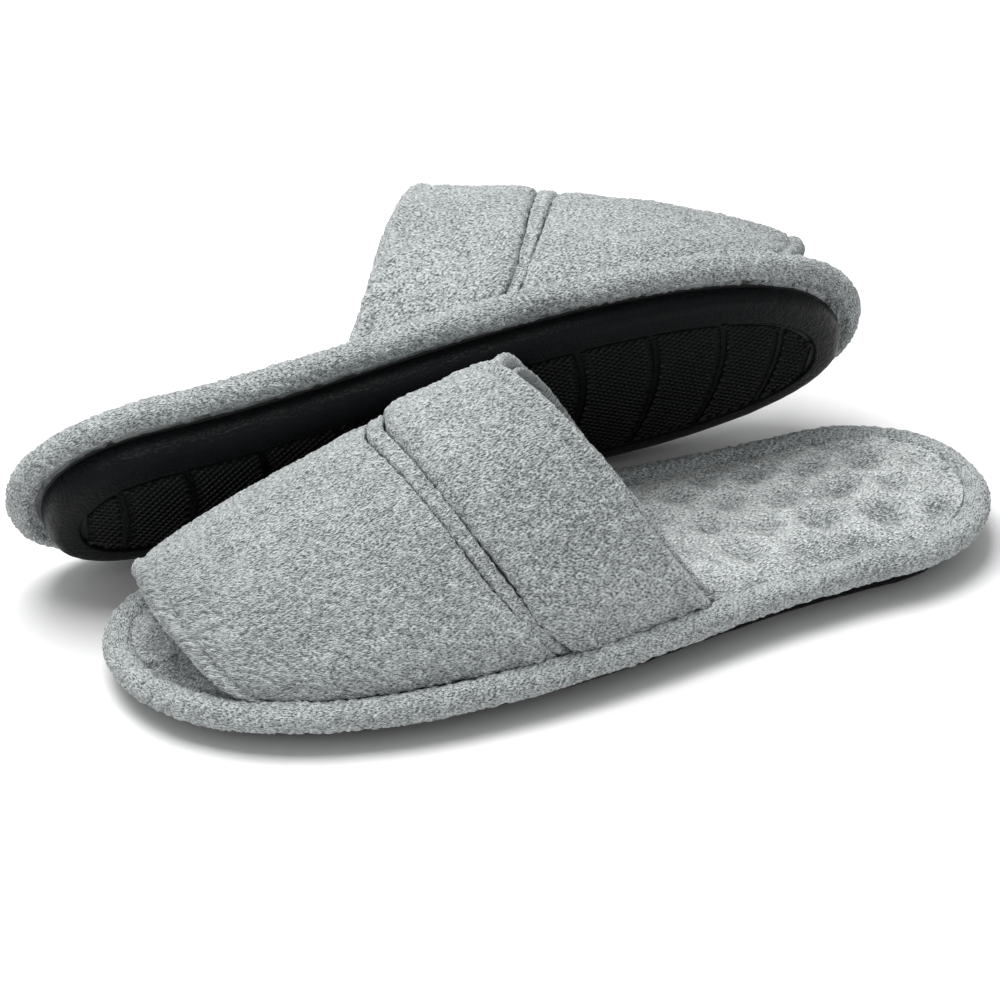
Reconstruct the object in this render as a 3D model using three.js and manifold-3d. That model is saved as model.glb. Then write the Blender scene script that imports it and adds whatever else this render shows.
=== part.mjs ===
// A pair of open-toe terry slippers. The left one lies flat on its sole, toe towards -X.
// The right one leans on its big-toe side behind it, sole towards the front.
// Millimetres, +Z up. The origin is on the floor, under the middle of the left slipper.
//
// Each slipper is built in a frame of its own: the toe points to +X, the big-toe side is +Y
// and the tread is at z = 0. Everything above the tread follows the top of the outsole.
import * as THREE from "three";
import { mergeVertices } from "three/addons/utils/BufferGeometryUtils.js";
import Module from "manifold-3d";

const wasm = await Module();
wasm.setup();

// Foot shape, over the outside of the rim.
const LENGTH = 276;
const BALL_HALF_INNER = 54; // big-toe side
const BALL_HALF_OUTER = 55; // little-toe side
const HEEL_HALF = 41.5;
const BALL_INNER_BACK = 78; // from the toe tip back to the widest point of the ball
const BALL_OUTER_BACK = 100;
const HEEL_FORWARD = 47; // from the heel tip to the widest point of the heel
const TOE_TIP_SHIFT = 10; // the toe tip lies towards the big toe
const END_FULLNESS = 0.62; // Bezier handle share: 0.55 is an ellipse, more is blunter
const SIDE_FULLNESS = 0.42;

// Sole stack, from the floor up.
const OUTSOLE_TOE = 6.5;
const OUTSOLE_HEEL = 10.5;
const OUTSOLE_ROUND = 3;
const MIDSOLE = 2.2;
const FOOTBED_FOAM = 2.2;
const FOOTBED_COVER = 1.2;
const GAP = 0.3; // between pieces that touch
const LAYER_GAP = 0.5; // between the curved layers of the upper

// Padded rim round the footbed.
const RIM_RADIUS = 4.6;
const RIM_FABRIC = 1.2;
const RIM_CORE_CLEARANCE = 0.5; // inside the fabric
const RIM_RISE = 3.8; // centre of the roll above the top of the outsole
const RIM_SLIT_FROM = 195; // degrees; the wrap is open where it is sewn in under the footbed
const RIM_SLIT_TO = 245;

// Upper: vamp over the toes, band over the instep, with a raised seam strip between.
const TOE_EDGE_BACK = 11; // from the toe tip back to the front edge, at the ridge
const VAMP_RIDGE = 70;
const SEAM_STRIP = 4.6;
const BAND_RIDGE = 36;
const TOE_EDGE_SWEEP = 21; // how much further back an edge lies at the sole than at the ridge
const SEAM_SWEEP = 38;
const COLLAR_SWEEP = 48;
const RIDGE_AT_TOE = 34; // ridge height above the top of the outsole
const RIDGE_AT_COLLAR = 77;
const RIDGE_TURN = 0.95; // how much the ridge levels out by the collar, in radians
const UPPER_INSET = 6.6; // outer face of the vamp, in from the outside of the rim
const ARCH_POWER = 1.25; // 1 is an elliptical arch, 2 a straight-sided tent
const SHELL = 1.8;
const VAMP_FOAM = 2;
const LINING = 1;
const BAND_STEP = 1.6; // the band stands this much prouder than the vamp
const STRIP_STEP = 0.7;
const TOE_HEM = 7;
const COLLAR_FACING = 14;

// The sole bends here, across the ball of the foot.
const FLEX_BACK = 104; // from the toe tip

// How the right slipper leans.
const LEAN = 58; // degrees that its sole is turned up from flat
const LEAN_SHIFT_X = -15;
const LEAN_CLEARANCE = 0.8;

// Drawing steps.
const RIM_STEPS = 44;
const ARCH_STEPS = 20;

const TOE_X = LENGTH / 2;
const FLEX_X = TOE_X - FLEX_BACK;
const MIDSOLE_FLOOR = GAP;
const FOAM_FLOOR = MIDSOLE_FLOOR + MIDSOLE + GAP;
const COVER_FLOOR = FOAM_FLOOR + FOOTBED_FOAM + GAP;
const COVER_TOP = COVER_FLOOR + FOOTBED_COVER;
const RIM_TOP = RIM_RISE + RIM_RADIUS;
const SOLE_INSET = 2 * RIM_RADIUS + GAP;
const LINING_DEPTH = SHELL + VAMP_FOAM + 2 * LAYER_GAP;

const terry = new THREE.MeshStandardMaterial({ color: 0xa9adac, roughness: 0.95, metalness: 0 });
const terryTrim = new THREE.MeshStandardMaterial({ color: 0x9a9f9e, roughness: 0.95, metalness: 0 });
const lining = new THREE.MeshStandardMaterial({ color: 0x8f9493, roughness: 0.9, metalness: 0 });
const foam = new THREE.MeshStandardMaterial({ color: 0xe4e0d6, roughness: 0.85, metalness: 0 });
const rubber = new THREE.MeshStandardMaterial({ color: 0x131416, roughness: 0.6, metalness: 0 });
const eva = new THREE.MeshStandardMaterial({ color: 0x2a2b2d, roughness: 0.8, metalness: 0 });

// Height of the outsole's top face, which slopes up from toe to heel.
function soleTop(x) {
  return THREE.MathUtils.mapLinear(x, TOE_X, -TOE_X, OUTSOLE_TOE, OUTSOLE_HEEL);
}

function ease(from, to, fromHandle, toHandle) {
  return new THREE.CubicBezierCurve(
    new THREE.Vector2(...from),
    new THREE.Vector2(...fromHandle),
    new THREE.Vector2(...toHandle),
    new THREE.Vector2(...to),
  );
}

// The foot outline drawn in by an inset: three curves a side, each square to the next.
// side is +1 for the big-toe side and -1 for the little-toe side.
function outlineSide(side, inset) {
  const toe = [TOE_X - inset, TOE_TIP_SHIFT];
  const heel = [inset - TOE_X, 0];
  const ballHalf = (side > 0 ? BALL_HALF_INNER : BALL_HALF_OUTER) - inset;
  const ballX = TOE_X - (side > 0 ? BALL_INNER_BACK : BALL_OUTER_BACK);
  const ball = [ballX, side * ballHalf];
  const heelSide = [HEEL_FORWARD - TOE_X, side * (HEEL_HALF - inset)];
  const round = END_FULLNESS;
  const run = SIDE_FULLNESS * (ball[0] - heelSide[0]);
  return [
    ease(
      toe,
      ball,
      [toe[0], toe[1] + round * (ball[1] - toe[1])],
      [ball[0] + round * (toe[0] - ball[0]), ball[1]],
    ),
    ease(ball, heelSide, [ball[0] - run, ball[1]], [heelSide[0] + run, heelSide[1]]),
    ease(
      heelSide,
      heel,
      [heelSide[0] + round * (heel[0] - heelSide[0]), heelSide[1]],
      [heel[0], heel[1] + round * (heelSide[1] - heel[1])],
    ),
  ];
}

function reversed(curve) {
  return new THREE.CubicBezierCurve(curve.v3, curve.v2, curve.v1, curve.v0);
}

// The whole outline, anticlockwise from the toe tip.
function outline(inset) {
  const shape = new THREE.Shape();
  shape.curves = [...outlineSide(1, inset), ...outlineSide(-1, inset).reverse().map(reversed)];
  return shape;
}

// How far the outline reaches to one side at x, found by halving along its curves.
function reach(x, side, inset) {
  const curves = outlineSide(side, inset);
  const curve = curves.find((c) => x <= c.v0.x && x >= c.v3.x) ?? curves[x > 0 ? 0 : 2];
  let low = 0;
  let high = 1;
  for (let i = 0; i < 30; i++) {
    const middle = (low + high) / 2;
    if (curve.getPoint(middle).x > x) low = middle;
    else high = middle;
  }
  return curve.getPoint(low).y;
}

// Moves every vertex of a geometry by a function of its position.
function reshape(geometry, move) {
  const position = geometry.attributes.position;
  const point = new THREE.Vector3();
  for (let i = 0; i < position.count; i++) {
    point.fromBufferAttribute(position, i);
    move(point);
    position.setXYZ(i, point.x, point.y, point.z);
  }
  return geometry;
}

function solid(geometry) {
  const bare = geometry.clone();
  bare.deleteAttribute("normal");
  bare.deleteAttribute("uv");
  const merged = mergeVertices(bare, 1e-3);
  return new wasm.Manifold(
    new wasm.Mesh({
      numProp: 3,
      vertProperties: new Float32Array(merged.attributes.position.array),
      triVerts: new Uint32Array(merged.index.array),
    }),
  );
}

function geometryOf(body) {
  const mesh = body.getMesh();
  const geometry = new THREE.BufferGeometry();
  geometry.setAttribute("position", new THREE.BufferAttribute(mesh.vertProperties, 3));
  geometry.setIndex(new THREE.BufferAttribute(mesh.triVerts, 1));
  geometry.computeVertexNormals();
  return geometry;
}

// A layer of the sole stack between two heights above the outsole's top face.
function plate(inset, floor, thickness) {
  const shape = new THREE.Shape(outline(inset).getSpacedPoints(RIM_STEPS).slice(0, -1));
  const geometry = new THREE.ExtrudeGeometry(shape, { depth: thickness, bevelEnabled: false });
  return reshape(geometry, (p) => {
    p.z += floor + soleTop(p.x);
  });
}

// The outsole: flat tread, rounded lower edge, and a top face that slopes.
function outsole() {
  const shape = new THREE.Shape(
    outline(SOLE_INSET + OUTSOLE_ROUND).getSpacedPoints(RIM_STEPS).slice(0, -1),
  );
  const geometry = new THREE.ExtrudeGeometry(shape, {
    depth: 1,
    bevelThickness: 1,
    bevelSize: OUTSOLE_ROUND,
    bevelSegments: 3,
  });
  // The bevelled slab runs from -1 to 2: its lower bevel becomes the rounded edge, and the
  // upper one is drawn out to the full outline, so that the top face ends at a sharp edge.
  return reshape(geometry, (p) => {
    const wall = soleTop(p.x) - OUTSOLE_ROUND;
    p.z = p.z <= 0 ? (p.z + 1) * OUTSOLE_ROUND : OUTSOLE_ROUND + (p.z / 2) * wall;
  });
}

// A closed section, as [out, up] points, carried round the rim's centre line.
function rimRing(section) {
  const centre = outline(RIM_RADIUS).getSpacedPoints(RIM_STEPS).slice(0, -1);
  const hub = 100;
  const closed = [...section, section[0]].map(([out, up]) => new THREE.Vector2(hub + out, up));
  const ring = new THREE.LatheGeometry(closed, RIM_STEPS);
  return reshape(ring, (p) => {
    const turn = Math.atan2(p.x, p.z) / (2 * Math.PI);
    const i = ((Math.round(turn * RIM_STEPS) % RIM_STEPS) + RIM_STEPS) % RIM_STEPS;
    const out = Math.hypot(p.x, p.z) - hub;
    const up = p.y;
    const before = centre[(i + RIM_STEPS - 1) % RIM_STEPS];
    const after = centre[(i + 1) % RIM_STEPS];
    const along = after.clone().sub(before).normalize();
    p.x = centre[i].x + along.y * out;
    p.y = centre[i].y - along.x * out;
    p.z = soleTop(centre[i].x) + RIM_RISE + up;
  });
}

function arcPoints(radius, fromDegrees, toDegrees, steps) {
  return Array.from({ length: steps + 1 }, (_, i) => {
    const angle = THREE.MathUtils.degToRad(
      THREE.MathUtils.lerp(fromDegrees, toDegrees, i / steps),
    );
    return [radius * Math.cos(angle), radius * Math.sin(angle)];
  });
}

// Fabric round the roll: a C-shaped section, open where its edges are sewn in.
function rimWrap() {
  const inner = RIM_RADIUS - RIM_FABRIC;
  const from = RIM_SLIT_TO - 360;
  return rimRing([
    ...arcPoints(RIM_RADIUS, from, RIM_SLIT_FROM, 8),
    ...arcPoints(inner, RIM_SLIT_FROM, from, 7),
  ]);
}

function rimCore() {
  const radius = RIM_RADIUS - RIM_FABRIC - RIM_CORE_CLEARANCE;
  return rimRing(arcPoints(radius, 0, 360, 7).slice(0, -1));
}

// Edges across the upper: x at a share v of the way down from the ridge to the sole.
const toeEdge = (v) => TOE_X - TOE_EDGE_BACK - TOE_EDGE_SWEEP * v ** 3;
const seamFront = (v) => TOE_X - TOE_EDGE_BACK - VAMP_RIDGE - SEAM_SWEEP * v ** 1.6;
const seamRear = (v) => seamFront(v) - SEAM_STRIP;
const collarEdge = (v) => {
  const atRidge = TOE_X - TOE_EDGE_BACK - VAMP_RIDGE - SEAM_STRIP - BAND_RIDGE;
  return atRidge - COLLAR_SWEEP * v ** 1.3;
};
const shifted = (edge, by) => (v) => edge(v) + by;

// Edges that divide the stretch between two edges evenly, both ends included.
function divided(rear, front, steps) {
  return Array.from({ length: steps + 1 }, (_, i) => {
    return (v) => THREE.MathUtils.lerp(rear(v), front(v), i / steps);
  });
}

// Ridge height above the outsole's top face: it climbs from the toe and levels out slowly.
function ridge(x) {
  const climb = (toeEdge(0) - x) / (toeEdge(0) - collarEdge(0));
  const share = Math.sin(climb * RIDGE_TURN) / Math.sin(RIDGE_TURN);
  return RIDGE_AT_TOE + (RIDGE_AT_COLLAR - RIDGE_AT_TOE) * share;
}

// One layer of the upper through a row of edges, arched from side to side over the foot.
// outer is the depth of its outer face below the vamp's outer face. Its lower edges stop
// on the rim.
function archPanel(edges, outer, thickness) {
  const base = RIM_TOP + GAP;
  const steps = edges.length - 1;
  const box = new THREE.BoxGeometry(1, 1, 1, steps, ARCH_STEPS, 1);
  return reshape(box, (p) => {
    const across = 2 * p.y;
    const side = across < 0 ? -1 : 1;
    const v = Math.abs(across);
    const x = edges[Math.round((p.x + 0.5) * steps)](v);
    const depth = outer + thickness * (0.5 - p.z);
    const angle = (v * Math.PI) / 2;
    const inner = reach(x, 1, UPPER_INSET) - depth;
    const outward = reach(x, -1, UPPER_INSET) + depth;
    const middle = (inner + outward) / 2;
    const half = (inner - outward) / 2;
    p.x = x;
    p.y = middle + side * half * Math.sin(angle) ** ARCH_POWER;
    p.z = soleTop(x) + base + (ridge(x) - depth - base) * Math.cos(angle) ** ARCH_POWER;
  });
}

// The layers of the upper. Layers of one panel share their edges, so that they nest.
function upperPieces() {
  const hemLine = shifted(toeEdge, -TOE_HEM);
  const facingLine = shifted(collarEdge, COLLAR_FACING);
  const vampBody = divided(shifted(seamFront, GAP), hemLine, 5);
  const bandBody = divided(facingLine, shifted(seamRear, -GAP), 2);
  const vamp = [...vampBody, toeEdge];
  const band = [collarEdge, ...bandBody];
  const vampFoamDepth = SHELL + LAYER_GAP;
  const bandFoamDepth = vampFoamDepth - BAND_STEP;
  const bandFoam = VAMP_FOAM + BAND_STEP;
  const vampLining = [...vampBody.slice(0, -1), shifted(hemLine, -GAP)];
  const bandLining = [shifted(facingLine, GAP), ...bandBody.slice(1)];
  const seam = LINING_DEPTH + LINING + STRIP_STEP;
  return {
    vamp_shell: [archPanel(vamp, 0, SHELL), terry],
    vamp_foam: [archPanel(vamp, vampFoamDepth, VAMP_FOAM), foam],
    vamp_lining: [archPanel(vampLining, LINING_DEPTH, LINING), lining],
    toe_hem: [archPanel([hemLine, toeEdge], LINING_DEPTH, LINING), terryTrim],
    seam_strip: [archPanel([seamRear, seamFront], -STRIP_STEP, seam), terryTrim],
    band_shell: [archPanel(band, -BAND_STEP, SHELL), terry],
    band_foam: [archPanel(band, bandFoamDepth, bandFoam), foam],
    band_lining: [archPanel(bandLining, LINING_DEPTH, LINING), lining],
    collar_facing: [
      archPanel([collarEdge, facingLine], LINING_DEPTH, LINING),
      terryTrim,
    ],
  };
}

// Layers of the sole and rim, which all bend at the flex line.
function solePieces() {
  return {
    outsole: [outsole(), rubber],
    midsole: [plate(SOLE_INSET + GAP, MIDSOLE_FLOOR, MIDSOLE), eva],
    footbed_foam: [plate(SOLE_INSET + GAP, FOAM_FLOOR, FOOTBED_FOAM), foam],
    footbed_cover: [plate(SOLE_INSET + GAP, COVER_FLOOR, FOOTBED_COVER), terry],
    rim_core: [rimCore(), foam],
    rim_wrap: [rimWrap(), terry],
  };
}

// The part of a solid on one side of the flex line: +1 is the toe part, -1 the heel part.
function flexHalf(body, side) {
  const size = 2 * LENGTH;
  const box = new THREE.BoxGeometry(size, size, size);
  box.translate(FLEX_X + side * (size / 2 + GAP / 2), 0, 0);
  return body.intersect(solid(box));
}

function slipper(name) {
  const group = new THREE.Group();
  const put = (piece, geometry, material) => {
    const mesh = new THREE.Mesh(geometry, material);
    mesh.name = `${name}_${piece}`;
    group.add(mesh);
  };
  for (const [piece, [geometry, material]] of Object.entries(solePieces())) {
    const whole = solid(geometry);
    put(`${piece}_toe`, geometryOf(flexHalf(whole, 1)), material);
    put(`${piece}_heel`, geometryOf(flexHalf(whole, -1)), material);
  }
  for (const [piece, [geometry, material]] of Object.entries(upperPieces())) {
    put(piece, geometry, material);
  }
  return group;
}

// How far a group reaches in a direction, over all its vertices, in its parent's frame.
function furthest(group, direction) {
  group.updateMatrixWorld(true);
  let most = -Infinity;
  const point = new THREE.Vector3();
  group.traverse((mesh) => {
    if (!mesh.isMesh) return;
    const position = mesh.geometry.attributes.position;
    for (let i = 0; i < position.count; i++) {
      point.fromBufferAttribute(position, i).applyMatrix4(mesh.matrixWorld);
      most = Math.max(most, point.dot(direction));
    }
  });
  return most;
}

// The left slipper mirrors the right one and lies flat, toe towards -X.
const left = slipper("left");
left.scale.x = -1;

// The right slipper stands on its big-toe side: turned in its own plane until ball and heel
// both touch the floor, rolled by LEAN, then moved up to the left one's upper.
const right = slipper("right");
const lean = THREE.MathUtils.degToRad(LEAN);
const ballToHeel = LENGTH - BALL_INNER_BACK - HEEL_FORWARD;
const tilt = -Math.atan2(BALL_HALF_INNER - HEEL_HALF, ballToHeel);
right.rotation.set(-lean, 0, tilt);
right.position.x = LEAN_SHIFT_X;
right.position.z = furthest(right, new THREE.Vector3(0, 0, -1));
const soleUp = new THREE.Vector3(0, Math.sin(lean), Math.cos(lean));
const toUpper = furthest(left, soleUp) + LEAN_CLEARANCE;
right.position.y = (toUpper - right.position.z * soleUp.z) / soleUp.y;

const group = new THREE.Group();
group.add(left, right);
export default group;
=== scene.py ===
# %% [markdown]
# A pair of open-toe terry slippers. The left one lies flat, and the right one leans on its
# big-toe side behind it and shows its sole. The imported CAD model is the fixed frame. Each
# piece here is modelled once in a slipper's own frame, in millimetres, with the toe to +X,
# the big-toe side to +Y and the tread at z = 0, and is then placed in metres. That way one
# function makes both the left and the right copy.

# %% Load the frame
import math

import bmesh
import bpy
import numpy as np
from mathutils import Matrix, Vector


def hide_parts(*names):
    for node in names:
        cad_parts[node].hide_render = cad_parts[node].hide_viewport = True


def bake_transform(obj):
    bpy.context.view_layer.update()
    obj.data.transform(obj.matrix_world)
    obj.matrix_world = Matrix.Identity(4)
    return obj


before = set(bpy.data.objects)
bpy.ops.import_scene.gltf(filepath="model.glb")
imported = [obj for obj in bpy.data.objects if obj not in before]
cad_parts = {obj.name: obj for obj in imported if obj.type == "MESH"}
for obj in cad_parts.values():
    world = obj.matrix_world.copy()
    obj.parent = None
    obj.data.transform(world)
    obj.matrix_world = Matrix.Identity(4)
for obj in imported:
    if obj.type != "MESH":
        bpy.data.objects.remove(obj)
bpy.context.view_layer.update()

# %% [markdown]
# The sizes are those of the pattern: the foot shape over the rim, the layers of the sole,
# and the lines where the upper's panels end. They are the same values as the CAD's, so that
# each cloth piece lies where its CAD solids do.

# %% Sizes of the sole and rim
LENGTH = 276.0
TOE_X = LENGTH / 2
BALL_HALF_INNER, BALL_HALF_OUTER, HEEL_HALF = 54.0, 55.0, 41.5
BALL_INNER_BACK, BALL_OUTER_BACK, HEEL_FORWARD = 78.0, 100.0, 47.0
TOE_TIP_SHIFT = 10.0
END_FULLNESS, SIDE_FULLNESS = 0.62, 0.42
OUTSOLE_TOE, OUTSOLE_HEEL = 6.5, 10.5
RIM_RADIUS, RIM_RISE = 4.6, 3.8
RIM_TOP = RIM_RISE + RIM_RADIUS
FOOTBED_TOP, FOOTBED_BASE = 6.5, 2.6
FLEX_X = 34.0

# %% Sizes of the upper
TOE_EDGE_BACK, TOE_EDGE_SWEEP = 11.0, 21.0
VAMP_RIDGE, SEAM_STRIP, BAND_RIDGE = 70.0, 4.6, 36.0
SEAM_SWEEP, COLLAR_SWEEP = 38.0, 48.0
RIDGE_AT_TOE, RIDGE_AT_COLLAR, RIDGE_TURN = 34.0, 77.0, 0.95
UPPER_INSET, ARCH_POWER = 6.6, 1.25
PANEL_THICK, LINING_DEPTH, LINING_THICK = 4.2, 4.8, 1.0
BAND_STEP = 1.6
TOE_HEM, COLLAR_FACING = 7.0, 14.0
HEM_STITCH = 4.2

# %% How the right slipper leans
LEAN = math.radians(58)
TILT = -math.atan2(BALL_HALF_INNER - HEEL_HALF, LENGTH - BALL_INNER_BACK - HEEL_FORWARD)
RIGHT_AT = (-15.0, 47.0871, 37.0782)
MM = Matrix.Scale(0.001, 4)
PLACES = {
    "left": MM @ Matrix.Diagonal((-1, 1, 1, 1)),
    "right": MM
    @ Matrix.Translation(RIGHT_AT)
    @ Matrix.Rotation(-LEAN, 4, "X")
    @ Matrix.Rotation(TILT, 4, "Z"),
}

# %% [markdown]
# The foot outline is three cubic curves a side. Insetting it is a matter of moving the
# curves' ends, which is how a pattern cutter grades a sole, and it keeps every layer's
# outline parallel to the next.

# %% The foot outline
def cubic(a, b, c, d, steps=160):
    t = np.linspace(0, 1, steps)[:, None]
    a, b, c, d = (np.array(p, float) for p in (a, b, c, d))
    return (1 - t) ** 3 * a + 3 * (1 - t) ** 2 * t * b + 3 * (1 - t) * t**2 * c + t**3 * d


def outline_side(side, inset):
    toe = (TOE_X - inset, TOE_TIP_SHIFT)
    heel = (inset - TOE_X, 0)
    half = (BALL_HALF_INNER if side > 0 else BALL_HALF_OUTER) - inset
    ball = (TOE_X - (BALL_INNER_BACK if side > 0 else BALL_OUTER_BACK), side * half)
    waist = (HEEL_FORWARD - TOE_X, side * (HEEL_HALF - inset))
    run = SIDE_FULLNESS * (ball[0] - waist[0])
    full = END_FULLNESS
    return np.vstack(
        [
            cubic(
                toe,
                (toe[0], toe[1] + full * (ball[1] - toe[1])),
                (ball[0] + full * (toe[0] - ball[0]), ball[1]),
                ball,
            ),
            cubic(ball, (ball[0] - run, ball[1]), (waist[0] + run, waist[1]), waist)[1:],
            cubic(
                waist,
                (waist[0] + full * (heel[0] - waist[0]), waist[1]),
                (heel[0], heel[1] + full * (waist[1] - heel[1])),
                heel,
            )[1:],
        ]
    )


def reach(x, side, inset):
    """How far the outline reaches to one side at x."""
    curve = outline_side(side, inset)
    return np.interp(-x, -curve[:, 0], curve[:, 1])


def running(path):
    """Length along a path up to each of its points."""
    return np.concatenate([[0], np.cumsum(np.linalg.norm(np.diff(path, axis=0), axis=1))])


def ring(inset, share):
    """Points and outward normals round the outline, at shares of its length from the heel."""
    path = np.vstack([outline_side(1, inset)[::-1], outline_side(-1, inset)[1:]])
    run = running(path)
    at = (share % 1) * run[-1]

    def spot(distance):
        return np.stack([np.interp(distance, run, path[:, i]) for i in (0, 1)], -1)

    along = spot((at + 0.5) % run[-1]) - spot((at - 0.5) % run[-1])
    along /= np.linalg.norm(along, axis=-1, keepdims=True)
    return spot(at), np.stack([-along[:, 1], along[:, 0]], -1), run[-1]


def sole_top(x):
    return OUTSOLE_TOE + (TOE_X - x) / LENGTH * (OUTSOLE_HEEL - OUTSOLE_TOE)


print("width over the ball", round(BALL_HALF_INNER + BALL_HALF_OUTER, 1), "mm")

# %% [markdown]
# Terry is a knit with thousands of little loops. Its surface is never flat: loops stand up
# in rows, lean over together, and clump into lighter and darker patches. The loops could be
# separate curves, but sixty thousand of them would be heavy to carry about. So each piece of
# cloth is a fine grid, with a loop every two or three faces, lifted by a repeatable noise.
# The noise is written here rather than taken from a texture, so it is the same on every run.

# %% A repeatable noise
def scatter(cell, seed):
    """A number from 0 to 1 for each whole-numbered cell."""
    mixed = cell[:, 0] * 73856093 ^ cell[:, 1] * 19349663 ^ cell[:, 2] * 83492791 ^ seed * 7919
    mixed = (mixed ^ (mixed >> 13)) * 1274126177 & 0x7FFFFFFF
    return ((mixed ^ (mixed >> 15)) & 0xFFFF) / 65535


def mottle(points, seed):
    """Smooth noise from 0 to 1, with one bump or hollow to each unit."""
    cell = np.floor(points).astype(np.int64)
    part = points - cell
    part = part * part * (3 - 2 * part)
    total = np.zeros(len(points))
    for corner in np.ndindex(2, 2, 2):
        weight = np.prod(np.where(np.array(corner) == 1, part, 1 - part), axis=1)
        total += weight * scatter(cell + np.array(corner), seed)
    return total


LOOP_SLANT = 34.0
LOOP_LONG, LOOP_WIDE, KNOT = 1.5, 0.72, 0.8


def loops(along, across, seed):
    """Height of the loop pile from 0 to 1: short dashes that lean one way."""
    lean = math.radians(LOOP_SLANT)
    a = along * math.cos(lean) + across * math.sin(lean)
    b = across * math.cos(lean) - along * math.sin(lean)
    dash = mottle(np.stack([a / LOOP_LONG, b / LOOP_WIDE, 0 * a], -1), seed)
    knot = mottle(np.stack([along / KNOT, across / KNOT, 0 * a], -1), seed + 11)
    return np.clip(1.5 * (0.6 * dash + 0.4 * knot) - 0.25, 0, 1)


# %% [markdown]
# Every cloth piece is a closed tube of grid faces: its columns go round a section, over the
# outside, round an edge and back underneath, and its rows run along the piece. The outside
# has most of the columns, because it carries the pile. An extrusion would give even faces
# on both sides and twice the weight, and a Solidify would double the hidden side too. The
# ends are closed with flat lids. A lid is cut across every few millimetres round the flex
# line, because one wide face would stay flat while the sole round it bends.

# %% Grid tubes
BEND_CUTS = np.arange(FLEX_X - 48, FLEX_X + 49, 4.0)
BAKE_MARGIN = 0.002


def read(mesh, name):
    values = np.zeros(len(mesh.vertices), np.float32)
    mesh.attributes[name].data.foreach_get("value", values)
    return values.astype(float)


def write(mesh, name, values):
    layer = mesh.attributes.get(name) or mesh.attributes.new(name, "FLOAT", "POINT")
    layer.data.foreach_set("value", np.asarray(values, np.float32))


def places_of(mesh, what="co"):
    values = np.zeros(len(mesh.vertices) * 3, np.float32)
    mesh.vertices.foreach_get(what, values)
    return values.reshape(-1, 3).astype(float)


def put(mesh, points):
    mesh.vertices.foreach_set("co", np.asarray(points, np.float32).ravel())
    mesh.update()


def tube(name, columns, rows, shape, marks=("facing",)):
    """A closed grid tube in millimetres. shape gives the points, the cloth's own two
    coordinates, and the marks, from each vertex's column and row."""
    bm = bmesh.new()
    bmesh.ops.create_grid(bm, x_segments=columns, y_segments=rows, size=0.5)
    mesh = bpy.data.meshes.new(name)
    bm.to_mesh(mesh)
    bm.free()
    unit = places_of(mesh)[:, :2] + 0.5
    points, cloth, values = shape(np.rint(unit[:, 0] * columns).astype(int), unit[:, 1])
    corner = np.zeros(len(mesh.loops), np.int32)
    mesh.loops.foreach_get("vertex_index", corner)
    bake = unit * (1 - 2 * BAKE_MARGIN) + BAKE_MARGIN
    for map_name, at in (("cloth", cloth / 1000), ("OFBake", bake)):
        mesh.uv_layers.new(name=map_name).data.foreach_set("uv", at[corner].ravel())
    write(mesh, "along", cloth[:, 0])
    write(mesh, "across", cloth[:, 1])
    for mark, value in zip(marks, values):
        write(mesh, mark, value)
    put(mesh, points)
    bm = bmesh.new()
    bm.from_mesh(mesh)
    bmesh.ops.remove_doubles(bm, verts=bm.verts, dist=1e-4)
    ends = [e for e in bm.edges if e.is_boundary]
    if ends:
        lids = bmesh.ops.holes_fill(bm, edges=ends, sides=0)["faces"]
        lid = list(dict.fromkeys(g for f in lids for g in (f, *f.edges, *f.verts)))
        for spot in BEND_CUTS:
            cut = dict(plane_co=(spot, 0, 0), plane_no=(1, 0, 0))
            lid = bmesh.ops.bisect_plane(bm, geom=lid, **cut)["geom"]
    bmesh.ops.recalc_face_normals(bm, faces=bm.faces)
    bm.to_mesh(mesh)
    bm.free()
    return mesh


def raise_pile(mesh, height, seed, swell=0):
    """Lifts a cloth mesh along its normals by its loops, and keeps their height for the colour's
    painted shade.
    """
    pile = loops(read(mesh, "along"), read(mesh, "across"), seed)
    lift = (pile - 0.5) * height * read(mesh, "facing") + swell
    put(mesh, places_of(mesh) + places_of(mesh, "normal") * lift[:, None])
    write(mesh, "pile", pile)
    return mesh


# %% [markdown]
# Each finished piece is placed in metres on its slipper, mirrored for the left one, and
# given its material and shading. The CAD solids it stands for are hidden.

# %% Finished pieces
made = {}


def finish_piece(name, mesh, side, material, stands_for=(), smooth=True):
    """Places a mesh in metres on its slipper, and hides the CAD solids it stands for."""
    mesh.transform(PLACES[side])
    if PLACES[side].determinant() < 0:
        mesh.flip_normals()
    mesh.name = f"{side}_{name}"
    mesh.materials.append(material)
    mesh.polygons.foreach_set("use_smooth", [smooth] * len(mesh.polygons))
    for spare in ("along", "across", "facing", "front", "rear", "down"):
        if spare in mesh.attributes:
            mesh.attributes.remove(mesh.attributes[spare])
    piece = bpy.data.objects.new(f"{side}_{name}", mesh)
    bpy.context.scene.collection.objects.link(piece)
    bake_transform(piece)
    if stands_for:
        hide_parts(*(f"{side}_{n}" for n in stands_for))
    made[piece.name] = len(mesh.polygons)
    print(piece.name, len(mesh.polygons), "faces")
    return piece


# %% [markdown]
# Shader maths reads best as Python. A small class wraps a node socket and overloads the
# operators, so that 1 - mask adds its own Math node. Anything else comes from one method
# that takes the node's type, its settings and its inputs.

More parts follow.
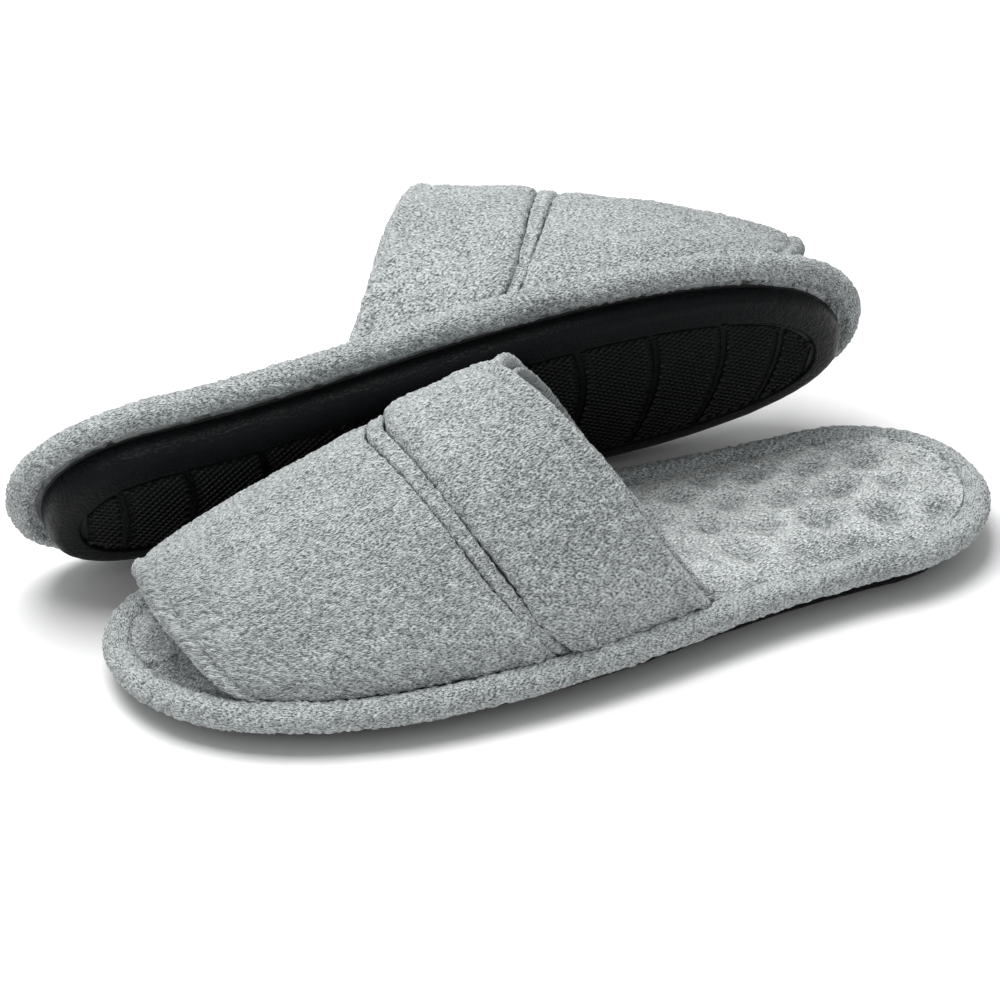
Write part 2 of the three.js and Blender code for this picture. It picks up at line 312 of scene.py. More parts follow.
# %% Shader maths
class Value:
    """A number that varies over a surface: one output socket, with operators."""

    def __init__(self, tree, socket):
        self.tree, self.socket = tree, socket

    def math(self, operation, *others):
        node = self.tree.nodes.new("ShaderNodeMath")
        node.operation = operation
        for slot, item in zip(node.inputs, (self, *others)):
            if isinstance(item, Value):
                self.tree.links.new(item.socket, slot)
            else:
                slot.default_value = item
        return Value(self.tree, node.outputs[0])

    def __add__(self, other):
        return self.math("ADD", other)

    def __mul__(self, other):
        return self.math("MULTIPLY", other)

    def __sub__(self, other):
        return self.math("SUBTRACT", other)

    def __rsub__(self, other):
        return self.math("MULTIPLY", -1.0).math("ADD", other)

    __radd__, __rmul__ = __add__, __mul__

    def clamp(self):
        return self.math("MAXIMUM", 0.0).math("MINIMUM", 1.0)


class Finish:
    """A material under construction."""

    def __init__(self, name):
        self.material = bpy.data.materials.new(name)
        self.material.use_nodes = True
        self.tree = self.material.node_tree
        self.shader = self.tree.nodes["Principled BSDF"]

    def node(self, kind, output=0, settings=None, **inputs):
        node = self.tree.nodes.new(kind)
        for name, value in (settings or {}).items():
            setattr(node, name, value)
        for name, value in inputs.items():
            slot = node.inputs[int(name[1:]) if name[0] == "_" else name.replace("_", " ")]
            self.feed(slot, value)
        return Value(self.tree, node.outputs[output])

    def feed(self, slot, value):
        if isinstance(value, Value):
            self.tree.links.new(value.socket, slot)
        else:
            slot.default_value = value

    def set(self, **inputs):
        for name, value in inputs.items():
            self.feed(self.shader.inputs[name.replace("_", " ")], value)
        return self.material

    def noise(self, vector, scale, detail=2.0, roughness=0.5):
        return self.node(
            "ShaderNodeTexNoise", Vector=vector, Scale=scale, Detail=detail, Roughness=roughness
        )

    def mix(self, share, dark, light):
        return self.node(
            "ShaderNodeMix", 2, {"data_type": "RGBA"}, _0=share, _6=(*dark, 1), _7=(*light, 1)
        )

    def bump(self, height, distance, strength=1.0):
        return self.node(
            "ShaderNodeBump", Height=height, Distance=distance, Strength=strength
        )


# %% [markdown]
# Heather yarn mixes pale and dark fibres before it is spun, so one loop is pale, the next
# dark, and whole patches drift lighter or darker. The colour also follows the height of the
# pile, darker on the low cloth between loops as painted shade, and adds slanted dashes finer
# than the mesh and soft blotches a centimetre across. A little sheen on the shader stands
# for the fuzz at grazing angles.

# %% Terry cloth
def terry(name, dark, light, slant=LOOP_SLANT, painted_shade_and_mottle=0.0):
    cloth = Finish(name)
    where = cloth.node("ShaderNodeUVMap", settings={"uv_map": "cloth"})
    place = cloth.node("ShaderNodeTexCoord", 3)
    turned = cloth.node(
        "ShaderNodeMapping",
        Vector=where,
        Rotation=(0, 0, math.radians(-slant)),
        Scale=(1050, 2300, 1),
    )
    dashes = cloth.noise(turned, 1.0, 1.0, 0.5)
    specks = cloth.noise(place, 2600.0, 1.0)
    patches = cloth.noise(place, 140.0, 3.0, 0.65)
    drift = cloth.noise(place, 22.0, 1.0)
    pile = cloth.node("ShaderNodeAttribute", 2, {"attribute_name": "pile"})
    # The pile term darkens the low cloth between loops: painted shade.
    tone = (
        0.5
        + (pile - 0.5) * 0.35
        + (dashes - 0.5) * 2.6
        + (specks - 0.5) * 0.9
        + (patches - 0.5) * 0.45
        + (drift - 0.5) * 0.3
    )
    # Painted shade: a footbed mark darkens the dimples and the border by the rim, with a little
    # random mottle.
    if painted_shade_and_mottle:
        tone = tone - cloth.node("ShaderNodeAttribute", 2, {"attribute_name": "painted_shade_and_mottle"}) * painted_shade_and_mottle
    fuzz = dashes * 0.7 + specks * 0.3
    return cloth.set(
        Base_Color=cloth.mix(tone.clamp(), dark, light),
        Roughness=0.95,
        Sheen_Weight=0.2,
        Sheen_Roughness=0.6,
        Specular_IOR_Level=0.15,
        Normal=cloth.bump(fuzz, 0.0011, 1.0),
    )


upper_terry = terry("heather grey terry", (0.1, 0.113, 0.116), (0.62, 0.66, 0.66))
rim_terry = terry("heather grey terry, gathered", (0.09, 0.102, 0.105), (0.6, 0.64, 0.64), 80.0)
footbed_terry = terry(
    "heather grey footbed terry", (0.13, 0.145, 0.148), (0.8, 0.84, 0.835), painted_shade_and_mottle=0.34
)

# %% [markdown]
# Inside, a flat knit lies against the foot: fine ribs along the foot with a little slub.

# %% Lining and thread
def flat_knit(name, dark, light):
    cloth = Finish(name)
    where = cloth.node("ShaderNodeUVMap", settings={"uv_map": "cloth"})
    stretched = cloth.node("ShaderNodeMapping", Vector=where, Scale=(500, 1300, 1))
    ribs = cloth.node(
        "ShaderNodeTexWave",
        1,
        {"bands_direction": "Y"},
        Vector=where,
        Scale=150.0,
        Distortion=1.2,
        Detail=1.0,
    )
    slub = cloth.noise(stretched, 1.0)
    tone = (0.25 + ribs * 0.35 + (slub - 0.35) * 0.7).clamp()
    return cloth.set(
        Base_Color=cloth.mix(tone, dark, light),
        Roughness=0.9,
        Specular_IOR_Level=0.2,
        Normal=cloth.bump(ribs * 0.6 + slub * 0.4, 0.0003, 0.7),
    )


lining_knit = flat_knit("flat knit lining", (0.16, 0.17, 0.17), (0.42, 0.44, 0.44))
thread = flat_knit("grey sewing thread", (0.2, 0.21, 0.21), (0.5, 0.52, 0.52))
midsole_sheet = Finish("matt foam sheet")
skin = midsole_sheet.noise(midsole_sheet.node("ShaderNodeTexCoord", 3), 900.0)
midsole_sheet = midsole_sheet.set(
    Base_Color=midsole_sheet.mix(skin, (0.016, 0.017, 0.018), (0.035, 0.036, 0.038)),
    Roughness=0.8,
)

# %% [markdown]
# The outsole is moulded black rubber. Its wall has a leather grain pressed into it: cells a
# millimetre or so across, split by fine valleys, with longer wrinkles where the mould is
# more deeply cut. Two sizes of Voronoi edge distance give cells with sharp valleys, which
# a plain noise doesn't. The tread is smoother, and shines a little on its high edges.

# %% Rubber
def rubber(name, grain, roughness, shine):
    sole = Finish(name)
    place = sole.node("ShaderNodeTexCoord", 3)
    warp = sole.node("ShaderNodeTexNoise", 1, Vector=place, Scale=160.0, Detail=2.0)
    bent = sole.node(
        "ShaderNodeVectorMath", 0, {"operation": "MULTIPLY_ADD"}, _0=warp, _1=(0.004,) * 3, _2=place
    )
    edges = {"feature": "DISTANCE_TO_EDGE"}
    cells = sole.node("ShaderNodeTexVoronoi", 0, edges, Vector=bent, Scale=620.0)
    folds = sole.node("ShaderNodeTexVoronoi", 0, edges, Vector=bent, Scale=170.0)
    dust = sole.noise(place, 60.0, 4.0, 0.65)
    valley = (cells * 4.0).clamp() * 0.6 + (folds * 6.0).clamp() * 0.4
    return sole.set(
        Base_Color=sole.mix(dust, (0.003, 0.0036, 0.0042), (0.0065, 0.0072, 0.008)),
        Roughness=(roughness + (dust - 0.5) * 0.25 - valley * 0.06).clamp(),
        Specular_IOR_Level=shine,
        Normal=sole.bump(valley, grain, 0.85),
    )


wall_rubber = rubber("black rubber, leather grain", 0.00016, 0.42, 0.09)
tread_rubber = rubber("black rubber tread", 0.00006, 0.45, 0.22)
print(len(bpy.data.materials), "materials")

# %% [markdown]
# The upper is three padded panels over the foot: the vamp over the toes, the band over the
# instep, and a raised strip on the seam between them. All of them follow one arch, a
# superellipse across the foot whose ridge climbs from the toe. A panel is a lens of cloth
# and foam: its edges roll round to the inside, so that where two meet there is a groove, as
# a real seam has. Cloth simulation would smooth that groove and the hem away, so the
# padding is shaped by displacement instead.

# %% The arch over the foot
def ridge(x):
    climb = (TOE_X - TOE_EDGE_BACK - x) / (VAMP_RIDGE + SEAM_STRIP + BAND_RIDGE)
    share = np.sin(climb * RIDGE_TURN) / math.sin(RIDGE_TURN)
    return RIDGE_AT_TOE + (RIDGE_AT_COLLAR - RIDGE_AT_TOE) * share


def over_foot(x, v, side, depth):
    """A point of the upper: v is 0 at the ridge and 1 at the rim, depth is into the cloth."""
    inner = reach(x, 1, UPPER_INSET) - depth
    outer = reach(x, -1, UPPER_INSET) + depth
    middle, half = (inner + outer) / 2, (inner - outer) / 2
    angle = np.minimum(v, 1) * math.pi / 2
    foot = RIM_TOP - 0.5
    down = np.clip(np.cos(angle), 0, 1) ** ARCH_POWER
    y = middle + side * half * np.sin(angle) ** ARCH_POWER
    return np.stack([x, y, sole_top(x) + foot + (ridge(x) - depth - foot) * down], -1)


def toe_edge(v):
    return TOE_X - TOE_EDGE_BACK - TOE_EDGE_SWEEP * v**3


def seam_front(v):
    return TOE_X - TOE_EDGE_BACK - VAMP_RIDGE - SEAM_SWEEP * v**1.6


def seam_rear(v):
    return seam_front(v) - SEAM_STRIP


def collar_edge(v):
    ridge_x = TOE_X - TOE_EDGE_BACK - VAMP_RIDGE - SEAM_STRIP - BAND_RIDGE
    return ridge_x - COLLAR_SWEEP * v**1.3


MID_VAMP_X = 70.0
V_STEPS = np.linspace(0, 1, 400)
ARCH_RUN = running(over_foot(0 * V_STEPS + MID_VAMP_X, V_STEPS, 1, 0.0))
print("the arch measures", round(2 * ARCH_RUN[-1]), "mm across the vamp")


# %% Padded panels
EDGE_STEPS, UNDER_STEPS = 6, 10


def section(width, step, thick, round_by):
    """Columns round a panel: share of the way from rear to front, shift along, and depth."""
    count = max(3, round(width / step))
    turn = np.linspace(0, math.pi, EDGE_STEPS + 1)
    out = [(t, 0.0, 0.0) for t in np.linspace(0, 1, count + 1)[:-1]]
    nose = [(1.0, round_by * math.sin(a), thick / 2 * (1 - math.cos(a))) for a in turn[:-1]]
    under = [(t, 0.0, thick) for t in np.linspace(1, 0, UNDER_STEPS + 1)[:-1]]
    tail = [(0.0, -round_by * math.sin(a), thick / 2 * (1 + math.cos(a))) for a in turn]
    return np.array(out + nose + under + tail)


def padded_panel(name, rear, front, width, thick, *, depth=0.0, round_by, step=0.6, rows=270):
    """A panel of the upper between two edges, with its outer face at a depth. Its width is
    only a typical one, which sets the number of columns from the step between them."""
    columns = section(width, step, thick, round_by)

    def shape(column, row):
        s = 2 * row - 1
        v = np.interp(np.abs(s) * ARCH_RUN[-1], ARCH_RUN, V_STEPS)
        t, shift, deep = columns[column].T
        x_rear, x_front = rear(v) + round_by, front(v) - round_by
        x = x_rear + (x_front - x_rear) * t + shift
        points = over_foot(x, v, np.where(s < 0, -1, 1), depth + deep)
        round_edge = np.where(t < 0.5, deep, -deep)
        cloth = np.stack([x_rear - x + round_edge, s * ARCH_RUN[-1]], -1)
        facing = np.clip(1.25 - deep / thick, 0.3, 1)
        ends = (front(v) - x, x - rear(v))
        return points, cloth, (facing, *ends, v * np.sign(s))

    return tube(name, len(columns) - 1, rows, shape, ("facing", "front", "rear", "down"))


def dent(distance, at, width):
    return np.exp(-(((distance - at) / width) ** 2))


def soften(mesh, seed, amount=1.0):
    """Slow hills and hollows in the padding, in millimetres."""
    at = places_of(mesh)
    slow = mottle(at / 26, seed) - 0.5
    quick = mottle(at / 9, seed + 5) - 0.5
    return amount * (1.5 * slow + 0.55 * quick) * read(mesh, "facing")


# %% [markdown]
# The vamp's front edge is a hem, turned under and stitched about 4 mm in, so it puffs up in
# front of the stitches and dips along them. Low down, the cloth bulges over the rim before
# it dives into the seam.

# %% The vamp and its hem
LOW_BULGE = 0.86


def vamp(side, seed):
    mesh = padded_panel("vamp", seam_front, toe_edge, 74, PANEL_THICK, round_by=1.5)
    front, low = read(mesh, "front"), np.abs(read(mesh, "down"))
    rear = read(mesh, "rear")
    swell = soften(mesh, seed) - 0.8 * dent(front, HEM_STITCH, 1.0) + 0.6 * dent(front, 1.6, 1.6)
    swell += 1.0 * dent(low, LOW_BULGE, 0.1)
    swell += 0.5 * dent(rear, 7.0, 4.0) - 0.45 * dent(rear, 0.0, 2.4)
    raise_pile(mesh, 0.95, seed, swell)
    stands = ("vamp_shell", "vamp_foam")
    return finish_piece("vamp", mesh, side, upper_terry, stands)


def toe_hem(side, seed):
    mesh = padded_panel(
        "toe_hem", lambda v: toe_edge(v) - TOE_HEM, lambda v: toe_edge(v) - 0.5, TOE_HEM - 0.5,
        LINING_THICK, depth=LINING_DEPTH, round_by=0.4, step=0.7, rows=200,
    )
    raise_pile(mesh, 0.5, seed)
    return finish_piece("toe_hem", mesh, side, upper_terry, ("toe_hem",))


# %% [markdown]
# The seam strip is a narrow folded tape sewn down along both edges. It stands a little
# proud, with a shallow valley down its middle where the seam lies under it.

# %% The seam strip
def seam_strip(side, seed):
    mesh = padded_panel(
        "seam_strip", seam_rear, lambda v: seam_front(v) + 0.25, SEAM_STRIP - 1.2, PANEL_THICK,
        depth=-0.3, round_by=0.9, step=0.42,
    )
    swell = 0.35 * soften(mesh, seed) - 0.3 * dent(read(mesh, "rear"), SEAM_STRIP / 2, 0.6)
    raise_pile(mesh, 0.8, seed, swell)
    return finish_piece("seam_strip", mesh, side, upper_terry, ("seam_strip",))


# %% [markdown]
# The band is the thickest panel. Its rear edge, the collar, is turned in round a softer
# roll, and a facing of the same terry is sewn just inside it. On the leaning slipper the
# band has slumped a little, so shallow creases run along the foot low on its upper side.

# %% The band and its facing
COLLAR_STITCH = 5.5


def band(side, seed):
    mesh = padded_panel(
        "band", collar_edge, lambda v: seam_rear(v) + 0.1, 40, PANEL_THICK + BAND_STEP - 0.4,
        depth=-BAND_STEP, round_by=1.9,
    )
    rear, front, low = (read(mesh, n) for n in ("rear", "front", "down"))
    swell = soften(mesh, seed, 1.2) - 0.5 * dent(front, 0.0, 2.4) + 0.6 * dent(front, 8.0, 5.0)
    swell += 1.0 * dent(np.abs(low), LOW_BULGE, 0.1)
    swell += 0.4 * dent(rear, 2.5, 2) - 0.7 * dent(rear, COLLAR_STITCH, 1.3)
    if side == "right":
        run = read(mesh, "across")
        fold = np.sin((run + 0.1 * read(mesh, "along")) * 1.35)
        swell += 0.5 * fold * dent(low, -0.8, 0.1) * np.clip(1.1 - rear / 34, 0, 1)
    raise_pile(mesh, 0.95, seed, swell)
    stands = ("band_shell", "band_foam")
    return finish_piece("band", mesh, side, upper_terry, stands)


def collar_facing(side, seed):
    mesh = padded_panel(
        "collar_facing", lambda v: collar_edge(v) - 3.2, lambda v: collar_edge(v) + COLLAR_FACING,
        17, 2.9, depth=LINING_DEPTH - 0.8, round_by=1.4,
    )
    raise_pile(mesh, 0.7, seed, 0.4 * soften(mesh, seed))
    stands = ("collar_facing",)
    return finish_piece("collar_facing", mesh, side, upper_terry, stands)


# %% [markdown]
# The lining is one sheet of flat knit from the facing to the hem, laid against the foam. Its
# cut is as long as that stretch of the ridge, and its width follows from its measured area.


def lining(side, seed):
    mesh = padded_panel(
        "lining", lambda v: collar_edge(v) + COLLAR_FACING + 0.3,
        lambda v: toe_edge(v) - TOE_HEM - 0.3, 88, LINING_THICK,
        depth=LINING_DEPTH, round_by=0.3, step=2.0, rows=110,
    )
    put(mesh, places_of(mesh) + places_of(mesh, "normal") * 0.25 * soften(mesh, seed)[:, None])
    stands = ("vamp_lining", "band_lining")
    piece = finish_piece("lining", mesh, side, lining_knit, stands)
    return piece


# %% [markdown]
# The rim is a cord of foam wrapped in terry and sewn in all round the sole. The cloth is
# pulled round the roll, so it gathers where the outline turns sharply at the toe and heel:
# short ripples across the roll, deepest on its inside. A swept circle is the plain way to
# make it; here the circle's radius changes all the way round to give the gathers.

# %% The padded rim
RIM_AROUND, RIM_ALONG = 46, 1080
RIM_START, RIM_SEAM = math.radians(-140), math.radians(-118)
GATHER_FROM, GATHER_OVER, GATHER_LENGTH = 78.0, 40.0, 7.2


def rim(side, seed):
    def shape(column, row):
        turn = column / RIM_AROUND * 2 * math.pi + RIM_START
        point, outward, length = ring(RIM_RADIUS, row)
        x, y = point.T
        tight = np.clip((np.abs(x) - GATHER_FROM) / GATHER_OVER, 0, 1)
        waver = 2.5 * mottle(np.stack([x, x * 0, y], -1) / 14, seed)
        ripple = np.sin(2 * math.pi * np.rint(length / GATHER_LENGTH) * row + waver)
        gather = 0.22 * tight * ripple * (0.6 + 0.4 * np.cos(turn - math.pi))
        lumps = 0.6 * (mottle(np.stack([x / 13, y / 13, turn], -1), seed) - 0.5)
        radius = RIM_RADIUS - 0.15 + gather + lumps - 0.5 * dent(turn, RIM_SEAM, 0.3)
        flat = point + outward * (radius * np.cos(turn))[:, None]
        z = sole_top(x) + RIM_RISE + radius * np.sin(turn)
        cloth = np.stack([row * length, turn * RIM_RADIUS], -1)
        return np.stack([*flat.T, z], -1), cloth, (np.ones(len(x)),)

    mesh = tube("rim", RIM_AROUND, RIM_ALONG, shape)
    raise_pile(mesh, 0.9, seed)
    stands = ("rim_wrap_toe", "rim_wrap_heel", "rim_core_toe", "rim_core_heel")
    return finish_piece("rim", mesh, side, rim_terry, stands)


# %% [markdown]
# The footbed is terry over massage foam. The foam's dimples lie in a staggered pattern
# about 18 mm apart, with broad soft ridges between them: the sum of three cosines turned by
# 60 degrees gives just that. Along its border the pad is pulled down beside the rim. The
# colour is darkened in the dimples and along that border as painted shade, with a little
# random mottle.

# %% The footbed
DIMPLE = 18.0
BORDER_PULL = 7.5
FOOTBED_ROWS = 400


def footbed(side, seed):
    inset = RIM_RADIUS * 2 - 0.6
    top = [(s, 1.0) for s in np.linspace(-1, 1, 131)]
    below = [(s, 0) for s in np.linspace(0.6, -0.6, 4)]
    columns = np.array([*top, (1, 0.5), (1, 0), *below, (-1, 0), (-1, 0.5), (-1, 1)])

    def shape(column, row):
        s, level = columns[column].T
        x = -(TOE_X - inset) * np.cos(math.pi * np.clip(row, 0.012, 0.988))
        low, high = reach(x, -1, inset), reach(x, 1, inset)
        y = (low + high) / 2 + (high - low) / 2 * s
        near = np.minimum(np.minimum(y - low, high - y), TOE_X - inset - np.abs(x))
        waver = np.stack([x, y, 0 * x], -1)
        px = x + 9 * (mottle(waver / 20, seed) - 0.5)
        py = y + 9 * (mottle(waver / 20, seed + 3) - 0.5)
        wave = sum(
            np.cos(4 * math.pi / math.sqrt(3) / DIMPLE * (px * math.cos(a) + py * math.sin(a)))
            for a in (0.85, 0.85 + math.pi / 3, 0.85 + 2 * math.pi / 3)
        )
        strength = np.clip((near - 2) / 8, 0, 1) * (0.6 + 0.8 * mottle(waver / 30, seed + 9))
        dimple = np.clip((wave + 1.3) / 4.3, 0, 1) * strength
        edge = dent(near, 0, BORDER_PULL) * (1 - 0.8 * np.clip((-x - 98) / 18, 0, 1))
        edge = edge * np.where(y < 0, 1.0, 0.5)
        rise = 1.5 + 1.4 * (mottle(waver / 13, seed + 7) - 0.5) - 2.9 * dimple - 4.0 * edge
        # Painted shade in the colour: darker in the dimples and along the border by the rim, plus a
        # little random mottle.
        painted_shade_and_mottle = 1.1 * dimple + 0.85 * edge + 0.7 * (mottle(waver / 7, seed + 4) - 0.5)
        painted_shade_and_mottle = np.clip(painted_shade_and_mottle, 0, 1)
        crown = FOOTBED_TOP + rise
        z = sole_top(x) + FOOTBED_BASE + (crown - FOOTBED_BASE) * level
        cloth = np.stack([x, y], -1)
        return np.stack([x, y, z], -1), cloth, (np.where(level == 1, 1.0, 0.0), painted_shade_and_mottle)

    mesh = tube("footbed", len(columns) - 1, FOOTBED_ROWS, shape, ("facing", "painted_shade_and_mottle"))
    raise_pile(mesh, 0.8, seed)
    stands = ("footbed_cover_toe", "footbed_cover_heel", "footbed_foam_toe", "footbed_foam_heel")
    piece = finish_piece("footbed", mesh, side, footbed_terry, stands)
    return piece


# %% [markdown]
# The outsole is a moulded cup. In section, its wall leans out from under the rim, turns
# over a broad rounded shoulder, and comes down to a narrow groove that frames the tread.
# The section is swept round the outline as rings of faces, and its ends are closed flat.

# %% The outsole
WALL = (
    (13.0, 0.97), (9.7, 0.97), (9.3, 0.9), (9.2, 0.76), (9.3, 0.58), (9.6, 0.4), (10.2, 0.24),
    (11.2, 0.12), (12.6, 0.045), (14.6, 0.012), (17.0, 0.0), (18.6, 0.0), (18.9, 0.03),
    (19.1, 0.09), (19.9, 0.09), (20.2, 0.06), (24.0, 0.06),
)
SOLE_AROUND, WALL_RINGS = 900, 48
FIELD_INSET = 20.3
MIDSOLE_INSET, MIDSOLE_LOW, MIDSOLE_HIGH = 9.9, 0.3, 2.3


def outsole(side, seed):
    spots = np.linspace(0, len(WALL) - 1, WALL_RINGS + 1)
    profile = np.stack([np.interp(spots, np.arange(len(WALL)), part) for part in zip(*WALL)], -1)

    def shape(column, row):
        inset, level = profile[np.rint(row * WALL_RINGS).astype(int)].T
        points = np.zeros((len(row), 2))
        for one in np.unique(inset):
            at = inset == one
            points[at] = ring(one, column[at] / SOLE_AROUND)[0]
        x, y = points.T
        grain = 0.22 * (mottle(np.stack([x / 2.6, y / 2.6, 9 * row], -1), seed) - 0.5)
        deep = 0.35 * (mottle(np.stack([x / 9, y / 5, 4 * row], -1), seed + 1) - 0.5)
        z = level * sole_top(x) + (grain + deep) * (level > 0.1) * (level < 0.95)
        return np.stack([x, y, z], -1), points, (np.ones(len(row)),)

    mesh = tube("outsole", SOLE_AROUND, WALL_RINGS, shape)
    stands = ("outsole_toe", "outsole_heel")
    return finish_piece("outsole", mesh, side, wall_rubber, stands)


def midsole(side):
    def shape(column, row):
        x, y = ring(MIDSOLE_INSET, column / 240)[0].T
        z = sole_top(x) + np.where(row < 0.5, MIDSOLE_LOW, MIDSOLE_HIGH)
        return np.stack([x, y, z], -1), np.stack([x, y], -1), (np.ones(len(row)),)

    mesh = tube("midsole", 240, 1, shape)
    stands = ("midsole_toe", "midsole_heel")
    return finish_piece("midsole", mesh, side, midsole_sheet, stands)


# %% [markdown]
# The tread is panels of small slanting pits, divided by smooth bars that bow a little across
# the sole. Each panel starts as a grid turned to the slant of its rows. Faces outside the
# panel are deleted, the ragged edge is drawn out to the panel's border, and each face is
# inset and pushed in to make its pit, as the mould's pins do. A copy of the panel closes it
# at the back.

# %% The tread
BARS = (-105.0, -84.0, -61.0, -37.0, -12.0, 14.0, 40.0, 64.0, 86.0, 105.0)
BAR_WIDTH = 2.0
PIT_LONG, PIT_WIDE, PIT_SLANT = 2.3, 1.75, math.radians(38)
PIT_EDGE, PIT_DEPTH, SMALLEST_PIT = 0.33, 0.42, 1.2
PIT_COLUMNS, PIT_ROWS = 64, 84
TREAD_THICK, TREAD_END, DRAW_OUT = 0.75, 116.0, 1.6


def bow(y):
    return 5.0 * (y / 35) ** 2


def pit_grid(middle):
    bm = bmesh.new()
    bmesh.ops.create_grid(bm, x_segments=PIT_COLUMNS, y_segments=PIT_ROWS, size=0.5)
    size = (PIT_COLUMNS * PIT_LONG, PIT_ROWS * PIT_WIDE, 1)
    bmesh.ops.scale(bm, vec=size, verts=bm.verts)
    bmesh.ops.rotate(bm, matrix=Matrix.Rotation(PIT_SLANT, 3, "Z"), verts=bm.verts)
    bmesh.ops.translate(bm, vec=(middle, 0, 0), verts=bm.verts)
    return bm


def trim(bm, limits):
    """Cuts a grid down to its panel, and draws its ragged edge out to the panel's border."""

    def outside(at):
        x0, x1, y0, y1 = limits(at)
        return at.x < x0 or at.x > x1 or at.y < y0 or at.y > y1

    gone = [f for f in bm.faces if outside(f.calc_center_median())]
    bmesh.ops.delete(bm, geom=gone, context="FACES")
    for vert in [v for v in bm.verts if v.is_boundary]:
        borders = tuple(zip("xxyy", limits(vert.co)))
        axis, value = min(borders, key=lambda b: abs(getattr(vert.co, b[0]) - b[1]))
        if abs(getattr(vert.co, axis) - value) < DRAW_OUT:
            setattr(vert.co, axis, value)


def sink_pits(bm):
    """Sinks a pit in each face, and closes the panel with a copy of itself behind."""
    bmesh.ops.dissolve_degenerate(bm, dist=0.25, edges=bm.edges)
    cells = [f for f in bm.faces if f.calc_area() > SMALLEST_PIT]
    copied = bmesh.ops.duplicate(bm, geom=[*bm.verts, *bm.edges, *bm.faces])["geom"]
    back = {g for g in copied if isinstance(g, bmesh.types.BMFace)}
    front = [f for f in bm.faces if f not in back and f.normal.z > 0]
    bmesh.ops.reverse_faces(bm, faces=front)
    bmesh.ops.inset_individual(bm, faces=cells, thickness=PIT_EDGE, depth=-PIT_DEPTH)
    raised = [g for g in copied if isinstance(g, bmesh.types.BMVert)]
    bmesh.ops.translate(bm, vec=(0, 0, TREAD_THICK), verts=raised)
    bmesh.ops.bridge_loops(bm, edges=[e for e in bm.edges if e.is_boundary])


def tread(side):
    whole = bmesh.new()
    field = [outline_side(way, FIELD_INSET) for way in (-1, 1)]
    end = TOE_X - FIELD_INSET - 1
    stations = [-end, *BARS, end]
    for index in range(len(stations) - 1):
        first, last = index == 0, index == len(BARS)
        low = stations[index] + (0 if first else BAR_WIDTH / 2)
        high = stations[index + 1] - (0 if last else BAR_WIDTH / 2)

        def limits(at):
            shift = bow(at.y)
            spot = min(max(at.x, -TREAD_END), TREAD_END)
            sides = (float(np.interp(-spot, -curve[:, 0], curve[:, 1])) for curve in field)
            return low - (0 if first else shift), high - (0 if last else shift), *sides

        bm = pit_grid((low + high) / 2)
        trim(bm, limits)
        if bm.faces:
            sink_pits(bm)
            panel = bpy.data.meshes.new("panel")
            bm.to_mesh(panel)
            whole.from_mesh(panel)
            bpy.data.meshes.remove(panel)
        bm.free()
    bmesh.ops.recalc_face_normals(whole, faces=whole.faces)
    mesh = bpy.data.meshes.new("tread")
    whole.to_mesh(mesh)
    whole.free()
    return finish_piece("tread", mesh, side, tread_rubber, smooth=False)


# %% [markdown]
# The stitches are short fat capsules of thread, half sunk in the pile. A low sphere pulled
# long is enough for each, because there are nearly two hundred on each slipper.

# %% Topstitching
STITCH_PITCH, STITCH_LENGTH, STITCH_RADIUS = 3.4, 2.3, 0.3


def stitches(side):
    bm = bmesh.new()
    lines = (
        (lambda v: toe_edge(v) - HEM_STITCH, 0.35),
        (lambda v: seam_front(v) + 1.6, 0.55),
        (lambda v: seam_rear(v) - 1.9, -0.7),
    )
    for line, depth in lines:
        s = np.linspace(-0.93, 0.93, 1200)
        v = np.interp(np.abs(s) * ARCH_RUN[-1], ARCH_RUN, V_STEPS)
        path = over_foot(line(v), v, np.where(s < 0, -1, 1), depth)
        run = running(path)
        for start in np.arange(1.0, run[-1] - 3, STITCH_PITCH):
            first, last = (
                Vector([np.interp(start + d, run, path[:, i]) for i in range(3)])
                for d in (0, STITCH_LENGTH)
            )
            along = last - first
            turn = along.to_track_quat("X", "Z").to_matrix().to_4x4()
            size = Matrix.Diagonal((along.length / 2, STITCH_RADIUS, STITCH_RADIUS, 1))
            place = Matrix.Translation((first + last) / 2) @ turn @ size
            bmesh.ops.create_uvsphere(bm, u_segments=6, v_segments=4, radius=1, matrix=place)
    mesh = bpy.data.meshes.new("stitches")
    bm.to_mesh(mesh)
    bm.free()
    return finish_piece("stitches", mesh, side, thread)


# %% Make both slippers
for number, side in enumerate(PLACES):
    vamp(side, 101 + number)
    toe_hem(side, 111 + number)
    seam_strip(side, 121 + number)
    band(side, 131 + number)
    collar_facing(side, 141 + number)
    rim(side, 161 + number)
    footbed(side, 171 + number)
    outsole(side, 181 + number)
    midsole(side)
    tread(side)
    stitches(side)
    lining(side, 151 + number)
print(sum(made.values()), "faces in all")

# %% [markdown]
# The stage is a plain white sheet under soft light: a large panel overhead and a little
# behind, as a photographer hangs one over a table, and a weaker one from the front left to
# lift the near sides. The long lens keeps the two slippers close to one size.

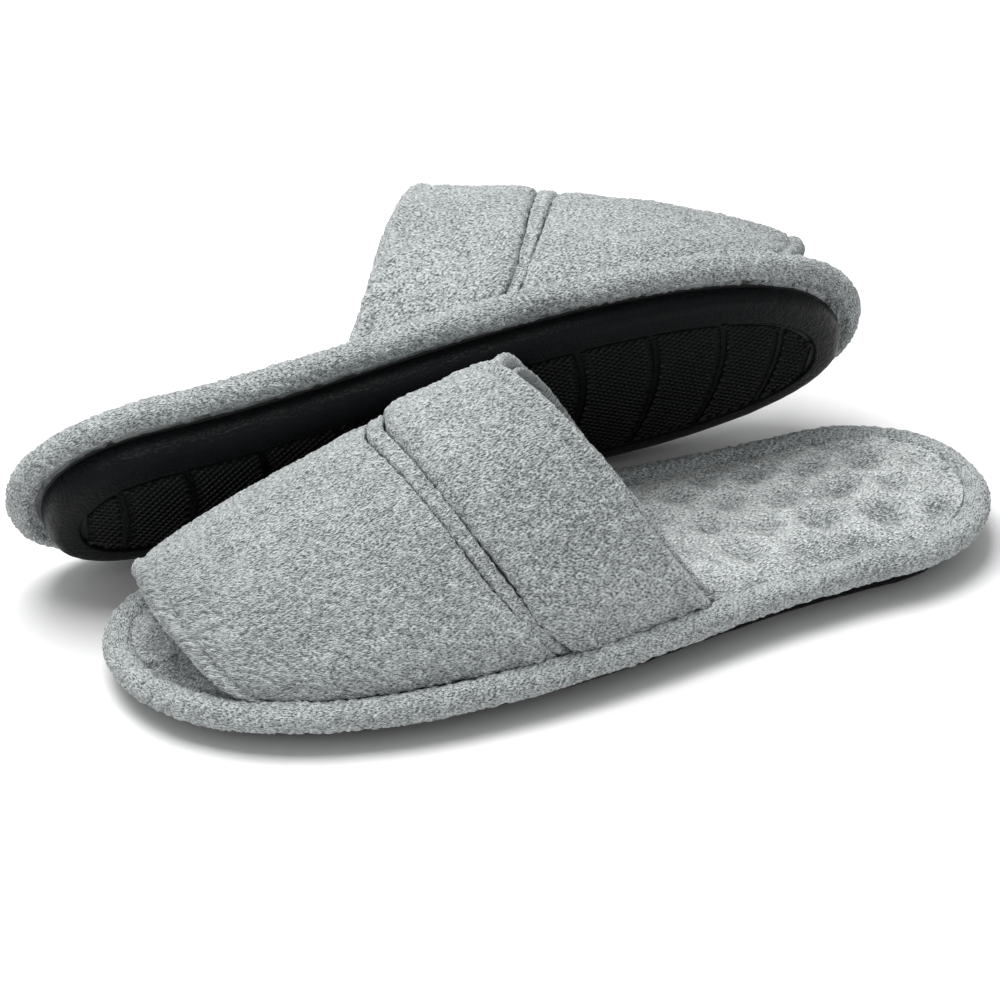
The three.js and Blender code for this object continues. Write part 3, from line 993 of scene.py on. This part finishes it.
# %% Floor, light and camera
sheet = bmesh.new()
bmesh.ops.create_grid(sheet, x_segments=1, y_segments=1, size=6)
floor_mesh = bpy.data.meshes.new("floor")
sheet.to_mesh(floor_mesh)
sheet.free()
floor = bpy.data.objects.new("floor", floor_mesh)
bpy.context.scene.collection.objects.link(floor)
paper = Finish("white paper")
floor_mesh.materials.append(paper.set(Base_Color=(0.86, 0.86, 0.86, 1), Roughness=0.9))

world = bpy.data.worlds.new("studio")
bpy.context.scene.world = world
world.use_nodes = True
world.node_tree.nodes["Background"].inputs[0].default_value = (1, 1, 1, 1)
world.node_tree.nodes["Background"].inputs[1].default_value = 0.48


def softbox(name, place, aim, size, power):
    light = bpy.data.lights.new(name, "AREA")
    light.shape, light.size, light.energy = "SQUARE", size, power
    lamp = bpy.data.objects.new(name, light)
    lamp.location = place
    lamp.rotation_euler = (Vector(aim) - Vector(place)).to_track_quat("-Z", "Y").to_euler()
    bpy.context.scene.collection.objects.link(lamp)


softbox("overhead", (-0.2, 0.16, 1.2), (0, 0.03, 0), 0.8, 17.0)
softbox("front left", (-1.2, -0.5, 0.8), (0, 0, 0.05), 0.6, 0.8)

AZIMUTH, ELEVATION, ROLL = math.radians(-18.66), math.radians(31.0), -0.0443
DISTANCE, FOCAL_LENGTH = 0.966, 109.1
back = Vector(
    (
        math.sin(AZIMUTH) * math.cos(ELEVATION),
        -math.cos(AZIMUTH) * math.cos(ELEVATION),
        math.sin(ELEVATION),
    )
)
right = Vector((0, 0, 1)).cross(back).normalized()
up = back.cross(right)
right, up = (
    right * math.cos(ROLL) + up * math.sin(ROLL),
    up * math.cos(ROLL) - right * math.sin(ROLL),
)
aim = Vector((-0.0002, 0.0624, 0.0)) + right * 0.0025 + up * 0.0021
eye = aim + back * DISTANCE
lens = bpy.data.cameras.new("camera")
lens.lens = FOCAL_LENGTH
lens.clip_start, lens.clip_end = 0.01, 50
camera = bpy.data.objects.new("camera", lens)
camera.matrix_world = Matrix.Translation(eye) @ Matrix((right, up, back)).transposed().to_4x4()
bpy.context.scene.collection.objects.link(camera)
bpy.context.scene.camera = camera
bpy.context.scene.view_settings.view_transform = "Standard"
